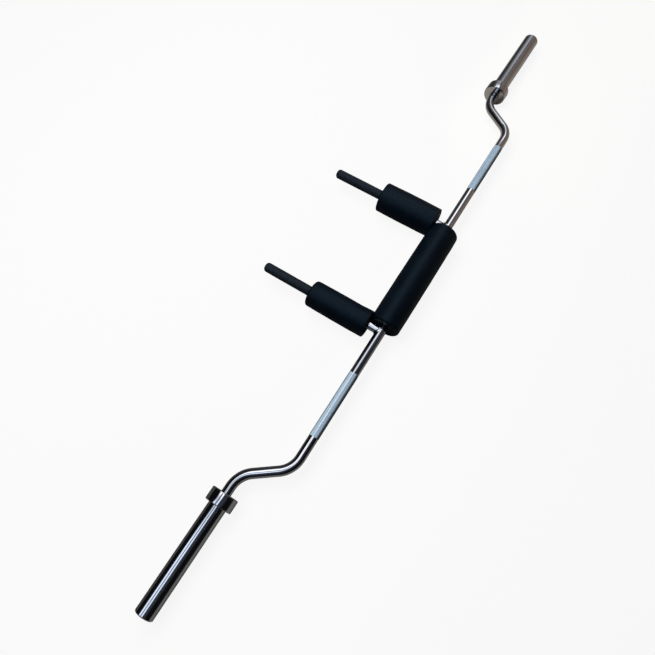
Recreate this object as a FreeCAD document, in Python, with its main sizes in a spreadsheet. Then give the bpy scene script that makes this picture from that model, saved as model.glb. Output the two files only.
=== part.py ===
import FreeCAD, Part
import math
import os
import Sketcher
from FreeCAD import Placement, Rotation, Vector

# A safety squat bar lying level on its pads and collars. +X runs along the bar from the lifter's
# left end to the right end, +Y forward along the arms, +Z up. The origin is on the floor, under
# the middle of the whole bar. Turned pieces are drawn as half outlines round their own X axis.
SIZES = (
    ("shaft_diameter", 28, "smooth stock of the centre shaft"),
    ("inner_bend_station", 654.5, "bar middle to where the straight and slanted axes meet"),
    ("outer_bend_station", 737.5, "bar middle to where the slanted and sleeve axes meet"),
    ("camber", 112, "sleeve axis forward of the shaft axis"),
    ("bend_radius", 70, "centre line of each bend"),
    ("knurl_height", 0.4, "crests of the knurling above the smooth stock"),
    ("knurl_depth", 2, "roots of the knurled bands' rings below the smooth stock"),
    ("knurl_station", 362, "bar middle to the inner end of a knurled band"),
    ("knurl_length", 204, "one knurled band"),
    ("knurl_shift", 9, "both bands sit this far towards the right end"),
    ("knurl_bevel", 0.8, "run-out at the ends of a band"),
    ("journal_step", 2, "journal turned down below the smooth stock"),
    ("journal_chamfer", 1.5, "lead-in on the tip of the journal"),
    ("half_length", 1115, "bar middle to the outer face of a sleeve"),
    ("sleeve_diameter", 50, "plate sleeve"),
    ("sleeve_clearance", 3, "radial gap between the sleeve's bore and the journal"),
    ("sleeve_chamfer", 2.5, "outer rim of a sleeve"),
    ("collar_station", 792, "bar middle to the inner face of a collar"),
    ("collar_width", 36, "collar along the bar"),
    ("collar_diameter", 75, "collar"),
    ("collar_rounding", 2, "rims of a collar"),
    ("collar_step", 0.5, "sleeve turned down where its collar is pressed on"),
    ("bushing_wall", 5, "one bushing"),
    ("bushing_length", 40, "one bushing"),
    ("bushing_clearance", 0.05, "radial gap between bushing and journal"),
    ("washer_thickness", 2.5, "thrust washer"),
    ("washer_inset", 1.5, "sleeve face to the first thrust washer"),
    ("washer_clearance", 0.3, "radial gap between washer and sleeve or journal"),
    ("end_play", 0.3, "axial gap between a bushing and its washer"),
    ("ring_thickness", 2, "retaining ring"),
    ("ring_height", 2.6, "retaining ring outside the journal"),
    ("groove_depth", 1.2, "retaining ring groove"),
    ("ring_gap", 9, "opening between the ends of a retaining ring"),
    ("journal_land", 4, "journal left outside the ring groove"),
    ("cap_clearance", 6, "shaft tip to the end cap"),
    ("cap_thickness", 10, "end cap along the bar"),
    ("cap_recess", 2, "end cap inside the sleeve's outer face"),
    ("cap_wall", 3, "wall and face of an end cap"),
    ("cap_dish", 1.5, "hollow in the outer face of an end cap"),
    ("arm_station", 203.5, "bar middle to the axis of an arm"),
    ("arm_diameter", 25, "arm tube"),
    ("arm_wall", 2.5, "arm tube"),
    ("weld_leg", 4.5, "fillet weld between arm and shaft"),
    ("weld_root", 0.6, "weld metal below the skin of arm and shaft"),
    ("weld_crown", 0.6, "how far the face of the weld swells"),
    ("grip_tip", 396, "shaft axis to the closed end of a grip"),
    ("grip_length", 163, "hand grip"),
    ("grip_wall", 2.3, "hand grip round the arm"),
    ("grip_end", 6, "thickness of the grip's closed end"),
    ("grip_rounding", 9, "closed end of a grip"),
    ("grip_lip", 1.5, "rounded mouth of a grip"),
    ("neck_pad_diameter", 94, "neck pad at its middle"),
    ("neck_pad_gap", 7, "neck pad to the skin of either arm, before its shift"),
    ("neck_pad_shift", 1, "middle of the neck pad towards the right end"),
    ("neck_pad_rounding", 11, "rims of the neck pad"),
    ("left_pad_diameter", 82, "left shoulder pad at its middle"),
    ("left_pad_gap", 1, "left shoulder pad to the mouth of its grip"),
    ("left_pad_rounding", 8, "rims of the left shoulder pad"),
    ("right_pad_diameter", 94, "right shoulder pad at its middle"),
    ("right_pad_gap", 8, "right shoulder pad to the mouth of its grip"),
    ("right_pad_rounding", 4, "rims of the right shoulder pad"),
    ("shoulder_pad_gap", 0.5, "neck pad to the near end of a shoulder pad"),
    ("pad_crown", 0.8, "how far a pad swells at its middle"),
    ("pad_skin", 1.2, "cover over the foam"),
    ("pad_fit", 0.2, "radial gap between a pad or grip and its tube"),
)

doc = FreeCAD.newDocument("safety_squat_bar")
sheet = doc.addObject("Spreadsheet::Sheet", "sizes")
for row, (alias, amount, meaning) in enumerate(SIZES, start=1):
    sheet.set(f"A{row}", alias)
    sheet.set(f"B{row}", str(amount))
    sheet.setAlias(f"B{row}", alias)
    sheet.set(f"C{row}", meaning)
doc.recompute()

# Places worked out from the sizes. The bar stands on its largest pad and on its collars, so the
# sleeve axis lies lower than the shaft axis by the difference of their radii.
SHAFT_Z = "(max(sizes.neck_pad_diameter; sizes.left_pad_diameter; sizes.right_pad_diameter) / 2)"
SHAFT_Y = "((sizes.neck_pad_diameter / 2 - sizes.grip_tip) / 2)"
SLEEVE_Z = "(sizes.collar_diameter / 2)"
SLEEVE_Y = f"({SHAFT_Y} + sizes.camber)"
SLEEVE_DROP = f"({SHAFT_Z} - {SLEEVE_Z})"
BEND_OFFSET = f"(hypot(sizes.camber; {SLEEVE_DROP}))"
ARM_END = "(sizes.grip_tip - sizes.grip_end)"
GRIP_START = "(sizes.grip_tip - sizes.grip_length)"

# Stations inside a sleeve, from its inner face outwards
SHOULDER = "(sizes.collar_station + sizes.washer_inset)"
INNER_WASHER_END = f"({SHOULDER} + sizes.washer_thickness)"
INNER_BUSHING_START = f"({INNER_WASHER_END} + sizes.end_play)"
INNER_SEAT = f"({INNER_BUSHING_START} + sizes.bushing_length)"
CAP_FACE = "(sizes.half_length - sizes.cap_recess)"
CAP_INNER_FACE = f"({CAP_FACE} - sizes.cap_thickness)"
JOURNAL_TIP = f"({CAP_INNER_FACE} - sizes.cap_clearance)"
GROOVE_END = f"({JOURNAL_TIP} - sizes.journal_land)"
GROOVE_START = f"({GROOVE_END} - sizes.ring_thickness)"
OUTER_BUSHING_END = f"({GROOVE_START} - sizes.washer_thickness - sizes.end_play)"
OUTER_SEAT = f"({OUTER_BUSHING_END} - sizes.bushing_length)"

STOCK_R = "(sizes.shaft_diameter / 2)"
JOURNAL_R = f"({STOCK_R} - sizes.journal_step)"
GROOVE_R = f"({JOURNAL_R} - sizes.groove_depth)"
BORE_R = f"({JOURNAL_R} + sizes.sleeve_clearance)"
BUSHING_BORE_R = f"({JOURNAL_R} + sizes.bushing_clearance)"
SEAT_R = f"({BUSHING_BORE_R} + sizes.bushing_wall)"
SLEEVE_R = "(sizes.sleeve_diameter / 2)"
COLLAR_SEAT_R = f"({SLEEVE_R} - sizes.collar_step)"
COLLAR_END = "(sizes.collar_station + sizes.collar_width)"
ARM_R = "(sizes.arm_diameter / 2)"

SIDES = (("left", -1), ("right", 1))
# Two measures that differ by less than this are the same, and a share is never less
SAME = 1e-3
nodes = []


def number(expression):
    """The present value of an expression, as a plain number."""
    found = sheet.evalExpression(expression)
    return float(getattr(found, "Value", found))


def size(name):
    return number(f"sizes.{name}")


def origin_plane(body, role):
    return next(plane for plane in body.Origin.OriginFeatures if plane.Role == role)


def sketch_on(body, name, role="XY_Plane"):
    sketch = body.newObject("Sketcher::SketchObject", name)
    sketch.AttachmentSupport = [(origin_plane(body, role), "")]
    sketch.MapMode = "FlatFace"
    return sketch


def bind(sketch, kind, *where, to):
    """A dimension of a sketch that follows an expression."""
    index = sketch.addConstraint(Sketcher.Constraint(kind, *where, number(to)))
    sketch.setExpression(f"Constraints[{index}]", to)


def draw_outline(sketch, corners, crown=None):
    """A closed outline with its corners at (station, radius); edge 1 may swell by crown."""
    first = sketch.GeometryCount
    places = [Vector(number(station), number(radius), 0) for station, radius in corners]
    for index, start in enumerate(places):
        end = places[(index + 1) % len(places)]
        if crown and index == 1:
            top = (start + end) / 2 + Vector(0, number(crown), 0)
            sketch.addGeometry(Part.Arc(start, top, end), False)
        else:
            sketch.addGeometry(Part.LineSegment(start, end), False)
    for index, (station, radius) in enumerate(corners):
        edge = first + index
        # An arc that turns clockwise is stored the other way round, so its ends swap.
        tail = 1 if crown and index == 1 else 2
        head = 2 if crown and (index + 1) % len(corners) == 1 else 1
        following = first + (index + 1) % len(corners)
        sketch.addConstraint(Sketcher.Constraint("Coincident", edge, tail, following, head))
        start = 2 if crown and index == 1 else 1
        bind(sketch, "DistanceX", -1, 1, edge, start, to=station)
        bind(sketch, "DistanceY", -1, 1, edge, start, to=radius)
    if crown:
        chord = f"({corners[2][0]} - {corners[1][0]})"
        bind(sketch, "Radius", first + 1, to=f"({chord} ^ 2 / 4 + ({crown}) ^ 2) / (2 * ({crown}))")


def turn(body, corners, name="profile", crown=None):
    """Turns an outline round the body's X axis."""
    sketch = sketch_on(body, f"{name}_sketch")
    draw_outline(sketch, corners, crown)
    revolution = body.newObject("PartDesign::Revolution", name)
    revolution.Profile = sketch
    revolution.ReferenceAxis = (sketch, ["H_Axis"])
    revolution.Angle = 360
    doc.recompute()
    return revolution


def rims(feature, radius, station=None):
    """The names of the full circles of that radius, all of them or those at one station."""
    found = []
    for index, edge in enumerate(feature.Shape.Edges, start=1):
        if not isinstance(edge.Curve, Part.Circle) or not edge.Closed:
            continue
        same_size = abs(edge.Curve.Radius - number(radius)) < SAME
        same_place = station is None or abs(edge.Curve.Center.x - number(station)) < SAME
        if same_size and same_place:
            found.append(f"Edge{index}")
    return found


def round_rims(body, feature, radius, amount, station=None):
    fillet = body.newObject("PartDesign::Fillet", "rounded_rims")
    fillet.Base = (feature, rims(feature, radius, station))
    fillet.setExpression("Radius", amount)
    doc.recompute()
    return fillet


def place(piece, base, axis=Vector(0, 0, 1), angle="0"):
    """Binds a piece's position and its turn about one axis."""
    # A turn of nothing has no axis, so the piece gets a turn of one degree before it is bound.
    piece.Placement = Placement(Vector(0, 0, 0), Rotation(axis, 1))
    for letter, expression in zip("xyz", base):
        piece.setExpression(f"Placement.Base.{letter}", expression)
    piece.setExpression("Placement.Rotation.Angle", angle)


def keep(piece, label):
    """Marks an object as a sub-part of the bar."""
    piece.Label = label
    nodes.append(piece)
    return piece


def on_sleeve_axis(piece, side):
    """Turned pieces of the right end lie as drawn, those of the left end point the other way."""
    place(piece, ("0", SLEEVE_Y, SLEEVE_Z), angle="0" if side > 0 else "180")


def on_arm_axis(piece, side):
    place(piece, (f"{side} * sizes.arm_station", SHAFT_Y, SHAFT_Z), angle="90")


def ring(body, start, end, outer, bore, name="profile"):
    corners = [(start, bore), (start, outer), (end, outer), (end, bore)]
    return turn(body, corners, name)


# The centre shaft: one steel bar, bent twice at each end, with journals turned on its ends
def bent_run(body):
    """The centre line from the middle of the bar to the shoulder of the right journal."""
    spine = sketch_on(body, "centre_line")
    inner, outer = size("inner_bend_station"), size("outer_bend_station")
    offset, radius = number(BEND_OFFSET), size("bend_radius")
    start = Vector(0, 0, 0)
    corner_in = Vector(inner, 0, 0)
    corner_out = Vector(outer, offset, 0)
    stop = Vector(number(SHOULDER), offset, 0)
    low, across, high = [
        spine.addGeometry(Part.LineSegment(tail, head), True)
        for tail, head in ((start, corner_in), (corner_in, corner_out), (corner_out, stop))]
    for before, after in ((low, across), (across, high)):
        spine.addConstraint(Sketcher.Constraint("Coincident", before, 2, after, 1))
    spine.addConstraint(Sketcher.Constraint("Coincident", low, 1, -1, 1))
    spine.addConstraint(Sketcher.Constraint("Horizontal", low))
    spine.addConstraint(Sketcher.Constraint("Horizontal", high))
    bind(spine, "DistanceX", -1, 1, low, 2, to="sizes.inner_bend_station")
    bind(spine, "DistanceX", -1, 1, across, 2, to="sizes.outer_bend_station")
    bind(spine, "DistanceY", -1, 1, across, 2, to=BEND_OFFSET)
    bind(spine, "DistanceX", -1, 1, high, 2, to=SHOULDER)

    slant = (corner_out - corner_in).normalize()
    level = Vector(1, 0, 0)
    half_turn = slant.getAngle(level) / 2
    tangent = radius * math.tan(half_turn)
    rise = radius * (1 / math.cos(half_turn) - 1)
    inward = (slant - level).normalize()
    first = (corner_in - level * tangent, corner_in + inward * rise, corner_in + slant * tangent)
    second = (corner_out - slant * tangent, corner_out - inward * rise, corner_out + level * tangent)
    run_in = spine.addGeometry(Part.LineSegment(start, first[0]), False)
    bend_in = spine.addGeometry(Part.Arc(*first), False)
    run_slant = spine.addGeometry(Part.LineSegment(first[2], second[0]), False)
    bend_out = spine.addGeometry(Part.Arc(*second), False)
    run_out = spine.addGeometry(Part.LineSegment(second[2], stop), False)
    # The first bend turns anticlockwise and the second clockwise, so its ends are stored swapped.
    joins = ((run_in, 2, bend_in, 1), (bend_in, 2, run_slant, 1),
             (run_slant, 2, bend_out, 2), (bend_out, 1, run_out, 1))
    for join in joins:
        spine.addConstraint(Sketcher.Constraint("Coincident", *join))
    touches = ((low, bend_in, 1), (across, bend_in, 2), (across, bend_out, 2), (high, bend_out, 1))
    for guide, bend, end in touches:
        spine.addConstraint(Sketcher.Constraint("Tangent", bend, end, guide))
    spine.addConstraint(Sketcher.Constraint("Coincident", run_in, 1, -1, 1))
    spine.addConstraint(Sketcher.Constraint("Coincident", run_out, 2, high, 2))
    bind(spine, "Radius", bend_in, to="sizes.bend_radius")
    bind(spine, "Radius", bend_out, to="sizes.bend_radius")
    return spine


def journal_outline(body):
    """The journal with its ring groove and tip chamfer, turned round the sleeve's axis."""
    axis_at = BEND_OFFSET
    stations = (
        (SHOULDER, "0"), (SHOULDER, JOURNAL_R),
        (GROOVE_START, JOURNAL_R), (GROOVE_START, GROOVE_R),
        (GROOVE_END, GROOVE_R), (GROOVE_END, JOURNAL_R),
        (f"({JOURNAL_TIP} - sizes.journal_chamfer)", JOURNAL_R),
        (JOURNAL_TIP, f"({JOURNAL_R} - sizes.journal_chamfer)"), (JOURNAL_TIP, "0"),
    )
    sketch = sketch_on(body, "journal_sketch")
    draw_outline(sketch, [(station, f"({axis_at} + {radius})") for station, radius in stations])
    axis_line = Part.LineSegment(Vector(number(SHOULDER), number(axis_at), 0),
                                 Vector(number(JOURNAL_TIP), number(axis_at), 0))
    axis = sketch.addGeometry(axis_line, True)
    sketch.addConstraint(Sketcher.Constraint("Coincident", axis, 1, 0, 1))
    sketch.addConstraint(Sketcher.Constraint("Coincident", axis, 2, len(stations) - 1, 1))
    return sketch


def knurled_bands(body):
    """Both bands stand a little proud of the smooth stock."""
    sketch = sketch_on(body, "knurl_sketch")
    crest = f"({STOCK_R} + sizes.knurl_height)"
    root = f"({STOCK_R} - sizes.knurl_depth)"
    for _, side in SIDES:
        near = f"(sizes.knurl_shift + {side} * sizes.knurl_station)"
        far = f"({near} + {side} * sizes.knurl_length)"
        bevel = f"{side} * sizes.knurl_bevel"
        draw_outline(sketch, [
            (near, root), (near, STOCK_R), (f"({near} + {bevel})", crest),
            (f"({far} - {bevel})", crest), (far, STOCK_R), (far, root)])
    bands = body.newObject("PartDesign::Revolution", "knurled_bands")
    bands.Profile = sketch
    bands.ReferenceAxis = (sketch, ["H_Axis"])
    bands.Angle = 360


def centre_shaft():
    body = doc.addObject("PartDesign::Body", "centre_shaft")
    spine = bent_run(body)
    section = sketch_on(body, "section", "YZ_Plane")
    section.addGeometry(Part.Circle(Vector(0, 0, 0), Vector(0, 0, 1), number(STOCK_R)), False)
    section.addConstraint(Sketcher.Constraint("Coincident", 0, 3, -1, 1))
    bind(section, "Radius", 0, to=STOCK_R)
    bent_half = body.newObject("PartDesign::AdditivePipe", "bent_half")
    bent_half.Profile = section
    bent_half.Spine = spine
    doc.recompute()
    sketch = journal_outline(body)
    journal = body.newObject("PartDesign::Revolution", "journal")
    journal.Profile = sketch
    journal.ReferenceAxis = (sketch, ["Axis0"])
    journal.Angle = 360
    doc.recompute()
    both = body.newObject("PartDesign::Mirrored", "both_halves")
    both.Originals = [bent_half, journal]
    both.MirrorPlane = (origin_plane(body, "YZ_Plane"), [""])
    body.Tip = both
    doc.recompute()
    knurled_bands(body)
    # The bends lie in a plane that leans by the sleeve's drop over the camber.
    place(body, ("0", SHAFT_Y, SHAFT_Z), Vector(1, 0, 0), f"-atan2({SLEEVE_DROP}; sizes.camber)")
    keep(body, "center_shaft")


# The plate sleeves: stepped tubes with a stop collar pressed on each inner end, up to a shoulder
def sleeve(side_name, side):
    body = doc.addObject("PartDesign::Body", f"{side_name}_sleeve")
    turn(body, [
        ("sizes.collar_station", SEAT_R), ("sizes.collar_station", COLLAR_SEAT_R),
        (COLLAR_END, COLLAR_SEAT_R), (COLLAR_END, SLEEVE_R),
        ("(sizes.half_length - sizes.sleeve_chamfer)", SLEEVE_R),
        ("sizes.half_length", f"({SLEEVE_R} - sizes.sleeve_chamfer)"),
        ("sizes.half_length", SEAT_R), (OUTER_SEAT, SEAT_R),
        (OUTER_SEAT, BORE_R), (INNER_SEAT, BORE_R), (INNER_SEAT, SEAT_R)])
    on_sleeve_axis(body, side)
    keep(body, f"{side_name}_sleeve")


def collar(side_name, side):
    body = doc.addObject("PartDesign::Body", f"{side_name}_collar")
    rim = "(sizes.collar_diameter / 2)"
    profile = ring(body, "sizes.collar_station", COLLAR_END, rim, COLLAR_SEAT_R)
    round_rims(body, profile, rim, "sizes.collar_rounding")
    on_sleeve_axis(body, side)
    keep(body, f"{side_name}_collar")


def bushing(side_name, side, which, start):
    body = doc.addObject("PartDesign::Body", f"{side_name}_{which}_bushing")
    end = f"({start} + sizes.bushing_length)"
    ring(body, start, end, SEAT_R, BUSHING_BORE_R)
    on_sleeve_axis(body, side)
    keep(body, f"{side_name}_{which}_bushing")


def washer(side_name, side, which, start):
    body = doc.addObject("PartDesign::Body", f"{side_name}_{which}_washer")
    end = f"({start} + sizes.washer_thickness)"
    outer = f"({SEAT_R} - sizes.washer_clearance)"
    ring(body, start, end, outer, f"({JOURNAL_R} + sizes.washer_clearance)")
    on_sleeve_axis(body, side)
    keep(body, f"{side_name}_{which}_washer")


def retaining_ring(side_name, side):
    """An open ring that snaps into the groove of the journal."""
    body = doc.addObject("PartDesign::Body", f"{side_name}_ring_blank")
    outer = f"({JOURNAL_R} + sizes.ring_height)"
    ring(body, GROOVE_START, GROOVE_END, outer, GROOVE_R)
    gap = doc.addObject("Part::Box", f"{side_name}_ring_gap")
    gap.setExpression("Length", "2 * sizes.ring_thickness")
    gap.setExpression("Width", "sizes.ring_gap")
    gap.setExpression("Height", outer)
    place(gap, (f"{GROOVE_START} - sizes.ring_thickness / 2", "-sizes.ring_gap / 2", "0"))
    cut = doc.addObject("Part::Cut", f"{side_name}_retaining_ring")
    cut.Base = body
    cut.Tool = gap
    on_sleeve_axis(cut, side)
    keep(cut, f"{side_name}_retaining_ring")


def end_cap(side_name, side):
    """A cup pressed into the sleeve's mouth, its face a little dished."""
    body = doc.addObject("PartDesign::Body", f"{side_name}_end_cap")
    hollow = f"({SEAT_R} - sizes.cap_wall)"
    hollow_end = f"({CAP_FACE} - sizes.cap_wall - sizes.cap_dish)"
    turn(body, [
        (CAP_INNER_FACE, hollow), (CAP_INNER_FACE, SEAT_R),
        (CAP_FACE, SEAT_R), (CAP_FACE, hollow),
        (f"({CAP_FACE} - sizes.cap_dish)", f"({hollow} - sizes.cap_dish)"),
        (f"({CAP_FACE} - sizes.cap_dish)", "0"), (hollow_end, "0"), (hollow_end, hollow)])
    on_sleeve_axis(body, side)
    keep(body, f"{side_name}_end_cap")


def sleeve_assembly(side_name, side):
    sleeve(side_name, side)
    collar(side_name, side)
    bushing(side_name, side, "inner", INNER_BUSHING_START)
    bushing(side_name, side, "outer", OUTER_SEAT)
    washer(side_name, side, "inner", SHOULDER)
    washer(side_name, side, "outer", f"({OUTER_BUSHING_END} + sizes.end_play)")
    retaining_ring(side_name, side)
    end_cap(side_name, side)


# The arms: tubes coped to the round of the shaft and welded to it
def arm(side_name, side):
    tube = doc.addObject("PartDesign::Body", f"{side_name}_arm_tube")
    ring(tube, "0", ARM_END, ARM_R, f"({ARM_R} - sizes.arm_wall)")
    on_arm_axis(tube, side)
    seat = doc.addObject("Part::Cylinder", f"{side_name}_arm_seat")
    seat.setExpression("Radius", STOCK_R)
    seat.setExpression("Height", "2 * sizes.arm_diameter")
    place(seat, (f"{side} * sizes.arm_station - sizes.arm_diameter", SHAFT_Y, SHAFT_Z),
          Vector(0, 1, 0), "90")
    coped = doc.addObject("Part::Cut", f"{side_name}_arm")
    coped.Base = tube
    coped.Tool = seat
    keep(coped, f"{side_name}_arm")


def weld_bead(side_name, side):
    """A fillet weld that follows the saddle curve where the arm's skin meets the shaft's."""
    arm_r, shaft_r = number(ARM_R), number(STOCK_R)
    leg, root, crown = size("weld_leg"), size("weld_root"), size("weld_crown")
    section_count = 48
    along_arm = Vector(0, 1, 0)
    wires = []
    for step in range(section_count):
        turn_angle = 2 * math.pi * step / section_count
        outward = Vector(math.cos(turn_angle), 0, math.sin(turn_angle))
        height = arm_r * outward.z
        reach = math.sqrt(max(shaft_r ** 2 - height ** 2, 0))
        corner = outward * arm_r + along_arm * reach
        shaft_normal = Vector(0, reach, height).normalize()
        # The shaft's leg lies in its skin. An arm as wide as the shaft meets it smoothly at the top and
        # bottom, where the leg keeps a way round the shaft by the least share.
        round_shaft = Vector(0, -shaft_normal.z, shaft_normal.y) * max(shaft_normal.y, SAME)
        down_shaft = (Vector(outward.x, 0, 0) + round_shaft * outward.z).normalize()
        sunk = corner - outward * root - shaft_normal * root
        arm_toe = corner + along_arm * leg - outward * root
        shaft_toe = corner + down_shaft * leg - shaft_normal * root
        face = (arm_toe + shaft_toe) / 2 + (outward + along_arm).normalize() * crown
        wires.append(Part.makePolygon([sunk, arm_toe, face, shaft_toe, sunk]))
    faces = []
    for index, wire in enumerate(wires):
        following = wires[(index + 1) % section_count]
        for near_edge, far_edge in zip(wire.Edges, following.Edges):
            faces.append(Part.makeRuledSurface(near_edge, far_edge))
    shell = Part.Shell(faces)
    solid = Part.Solid(shell)
    if solid.Volume < 0:
        solid.reverse()
    bead = doc.addObject("Part::Feature", f"{side_name}_arm_weld")
    bead.Shape = solid
    bead.Placement = Placement(
        Vector(side * size("arm_station"), number(SHAFT_Y), number(SHAFT_Z)), Rotation())
    keep(bead, f"{side_name}_arm_weld")


def grip(side_name, side):
    """A rubber sleeve with a closed rounded end, pushed over the arm to its stop."""
    body = doc.addObject("PartDesign::Body", f"{side_name}_grip")
    bore = f"({ARM_R} + sizes.pad_fit)"
    outer = f"({bore} + sizes.grip_wall)"
    blank = turn(body, [
        (GRIP_START, bore), (GRIP_START, outer), ("sizes.grip_tip", outer),
        ("sizes.grip_tip", "0"), (ARM_END, "0"), (ARM_END, bore)])
    tip = round_rims(body, blank, outer, "sizes.grip_rounding", "sizes.grip_tip")
    round_rims(body, tip, outer, "sizes.grip_lip", GRIP_START)
    on_arm_axis(body, side)
    keep(body, f"{side_name}_grip")


# The pads: foam rolls under a tight skin, a little fuller at their middles
def roll(name, start, end, diameter, bore, rounding):
    body = doc.addObject("PartDesign::Body", name)
    rim = f"({diameter} / 2 - sizes.pad_crown)"
    profile = turn(body, [(start, bore), (start, rim), (end, rim), (end, bore)], crown="sizes.pad_crown")
    round_rims(body, profile, rim, rounding)
    return body


def pad(pad_name, start, end, diameter, tube_diameter, rounding, placing):
    bore = f"({tube_diameter} / 2 + sizes.pad_fit)"
    foam = roll(f"{pad_name}_foam", f"({start} + sizes.pad_skin)", f"({end} - sizes.pad_skin)",
                f"({diameter} - 2 * sizes.pad_skin)", bore, f"({rounding} - sizes.pad_skin)")
    whole = roll(f"{pad_name}_roll", start, end, diameter, bore, rounding)
    for body in (foam, whole):
        placing(body)
    cover = doc.addObject("Part::Cut", f"{pad_name}_cover")
    cover.Base = whole
    cover.Tool = foam
    keep(foam, f"{pad_name}_foam")
    keep(cover, f"{pad_name}_cover")


def neck_pad():
    half = f"(sizes.arm_station - {ARM_R} - sizes.neck_pad_gap)"
    pad("neck_pad", f"(sizes.neck_pad_shift - {half})", f"(sizes.neck_pad_shift + {half})",
        "sizes.neck_pad_diameter", "sizes.shaft_diameter", "sizes.neck_pad_rounding",
        lambda body: place(body, ("0", SHAFT_Y, SHAFT_Z)))


def shoulder_pad(side_name, side):
    """It fills the arm from the neck pad to just short of the grip."""
    start = "(sizes.neck_pad_diameter / 2 + sizes.shoulder_pad_gap)"
    end = f"({GRIP_START} - sizes.{side_name}_pad_gap)"
    pad(f"{side_name}_shoulder_pad", start, end, f"sizes.{side_name}_pad_diameter",
        "sizes.arm_diameter", f"sizes.{side_name}_pad_rounding",
        lambda body: on_arm_axis(body, side))


centre_shaft()
neck_pad()
for side_name, side in SIDES:
    arm(side_name, side)
    weld_bead(side_name, side)
    shoulder_pad(side_name, side)
    grip(side_name, side)
    sleeve_assembly(side_name, side)

doc.recompute()
for item in doc.Objects:
    if "Invalid" in item.State or "Error" in item.State:
        raise RuntimeError(f"{item.Label} failed: {item.State}")
for piece in nodes:
    if piece.Shape.isNull() or not piece.Shape.isValid() or not piece.Shape.Solids:
        raise RuntimeError(f"{piece.Label} has no valid solid")

os.makedirs("parts", exist_ok=True)
for piece in nodes:
    piece.Shape.exportStep(f"parts/{piece.Label}.step")
    box = piece.Shape.BoundBox
    print(f"{piece.Label}: {len(piece.Shape.Solids)} solid, {piece.Shape.Volume / 1000:.1f} cm3, "
          f"x {box.XMin:.1f} to {box.XMax:.1f}, y {box.YMin:.1f} to {box.YMax:.1f}, "
          f"z {box.ZMin:.1f} to {box.ZMax:.1f}")
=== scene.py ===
import math

import bmesh
import bpy
from mathutils import Matrix, Vector, noise


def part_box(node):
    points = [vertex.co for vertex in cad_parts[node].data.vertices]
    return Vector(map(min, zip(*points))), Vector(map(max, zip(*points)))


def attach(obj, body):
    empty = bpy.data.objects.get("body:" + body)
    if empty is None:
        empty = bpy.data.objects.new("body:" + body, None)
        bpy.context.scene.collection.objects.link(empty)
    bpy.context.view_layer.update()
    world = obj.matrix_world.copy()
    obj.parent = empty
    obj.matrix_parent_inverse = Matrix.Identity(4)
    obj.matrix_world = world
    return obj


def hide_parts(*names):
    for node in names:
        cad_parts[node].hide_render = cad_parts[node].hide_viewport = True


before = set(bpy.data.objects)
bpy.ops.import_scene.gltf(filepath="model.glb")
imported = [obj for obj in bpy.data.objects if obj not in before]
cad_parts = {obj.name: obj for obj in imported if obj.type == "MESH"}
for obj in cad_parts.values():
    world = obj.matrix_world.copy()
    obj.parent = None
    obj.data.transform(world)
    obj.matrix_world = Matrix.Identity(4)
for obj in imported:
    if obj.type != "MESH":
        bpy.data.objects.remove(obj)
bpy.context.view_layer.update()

# The centre shaft is one bar of hard-chromed steel, cold bent twice at each end, with a journal turned
# on each tip. Two bands of diamond knurling are rolled into its straight middle, either side of the
# arms, so that it doesn't slip in the hands.
MM = 0.001
LEVEL = Vector((1, 0, 0))
FORWARD = Vector((0, 1, 0))
UP = Vector((0, 0, 1))


def middle(node):
    """The middle of a node's box, its station along the bar left out."""
    low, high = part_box(node)
    return Vector((0, (low[1] + high[1]) / 2, (low[2] + high[2]) / 2))


shaft_axis = middle("neck_pad_cover")
sleeve_axis = middle("right_sleeve")
shaft_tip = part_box("center_shaft")[1][0]
sleeve_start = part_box("right_sleeve")[0][0]
sleeve_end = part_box("right_sleeve")[1][0]
stock_r = 14 * MM
journal_r = 12 * MM
groove_r = 10.8 * MM
groove_run = (1091 * MM, 1093 * MM)
journal_chamfer = 1.5 * MM
shoulder = sleeve_start + 1.5 * MM
inner_bend = 654.5 * MM
outer_bend = 737.5 * MM
bend_radius = 70 * MM
bend_steps = 20
knurl_crest = 0.4 * MM
knurl_valley = 0.26 * MM
knurl_runs = ((-557 * MM, -353 * MM), (371 * MM, 575 * MM))
knurl_pitch = 1.3 * MM
knurl_run_out = 2
# Each painted highlight streak: which end's band, and how far forward of the shaft's axis
highlight_streak_places = ((-1, 8 * MM), (-1, 2.7 * MM), (-1, -5.3 * MM), (1, 10.5 * MM), (1, -4 * MM))
highlight_streak_width = 2.4 * MM
# Where painted shade darkens the knurl, as forward offsets from the shaft's axis: towards its back, and
# along its front edge
painted_back_shade = (-11 * MM, -7.5 * MM)
painted_front_shade = (11.5 * MM, 13.2 * MM)
shaft_sides = 120
SMOOTH_UP_TO = math.radians(32)


def piece_of(name, form, material):
    """A new piece made of a bmesh, with its normals outwards and its sharp edges kept."""
    bmesh.ops.recalc_face_normals(form, faces=form.faces)
    mesh = bpy.data.meshes.new(name)
    form.to_mesh(mesh)
    form.free()
    mesh.shade_smooth()
    mesh.set_sharp_from_angle(angle=SMOOTH_UP_TO)
    mesh.materials.append(material)
    piece = bpy.data.objects.new(name, mesh)
    bpy.context.scene.collection.objects.link(piece)
    return piece


def settle(piece, body, slot, *nodes):
    """The piece rides on its body and stands for the nodes, which are hidden. The slot is not used."""
    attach(piece, body)
    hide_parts(*nodes)


class Wire:
    """An output of a finish's nodes. Sums, differences and products of wires add their own Math nodes."""

    def __init__(self, nodes, socket):
        self.nodes = nodes
        self.socket = socket

    def math(self, operation, *terms):
        return self.nodes.add("ShaderNodeMath", {"operation": operation}, dict(enumerate(terms)))

    def __add__(self, other):
        return self.math("ADD", self, other)

    def __radd__(self, other):
        return self.math("ADD", other, self)

    def __sub__(self, other):
        return self.math("SUBTRACT", self, other)

    def __rsub__(self, other):
        return self.math("SUBTRACT", other, self)

    def __mul__(self, other):
        return self.math("MULTIPLY", self, other)

    def __rmul__(self, other):
        return self.math("MULTIPLY", other, self)

    def above(self, other):
        """The larger of the two."""
        return self.math("MAXIMUM", self, other)


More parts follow.
